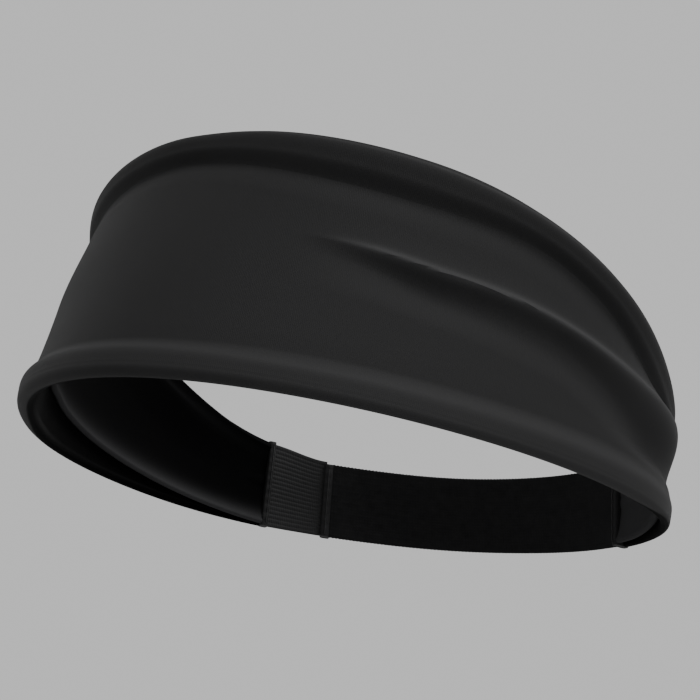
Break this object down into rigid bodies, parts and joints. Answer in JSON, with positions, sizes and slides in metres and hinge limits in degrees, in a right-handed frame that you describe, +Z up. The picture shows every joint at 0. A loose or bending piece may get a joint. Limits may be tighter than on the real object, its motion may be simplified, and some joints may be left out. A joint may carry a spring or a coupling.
{
  "type": "sports headband",
  "caption": "Wide stretch-knit sports headband with rolled hems, an inner lining, a ribbed tab and an elastic strap at the back.",
  "frame": {"origin": "middle of the headband's overall width and length, on the plane that its lower rim rests on", "axes": "+Z up towards the crown of the head, -Y towards the forehead, +X towards the wearer's left ear"},
  "size_m": [0.1618, 0.1678, 0.0656],
  "materials": {
    "shell_knit": "matt black polyester and spandex jersey, smooth, with a faint sheen on its folds",
    "lining_knit": "dull black brushed jersey",
    "rib_weave": "black ribbed grosgrain weave",
    "elastic_knit": "black knitted elastic with picot edges",
    "binding_knit": "black folded jersey strip",
    "sewing_thread": "black polyester sewing thread"
  },
  "bodies": {
    "band": {"outer_shell": "shell_knit", "inner_lining": "lining_knit", "ribbed_tab": "rib_weave", "left_end_binding": "binding_knit", "tab_end_binding": "binding_knit", "right_end_binding": "binding_knit", "lower_lining_thread": "sewing_thread", "upper_lining_thread": "sewing_thread", "left_join_thread": "sewing_thread", "tab_join_thread": "sewing_thread", "right_join_thread": "sewing_thread"},
    "strap": {"rear_elastic": "elastic_knit"}
  },
  "joints": [
    {"name": "rear_stretch", "type": "slide", "parent": "band", "child": "strap", "axis": [0, 1, 0], "range_m": [0, 0.03], "stiffness_N_per_m": 150, "deforming": ["rear_elastic"]}
  ]
}
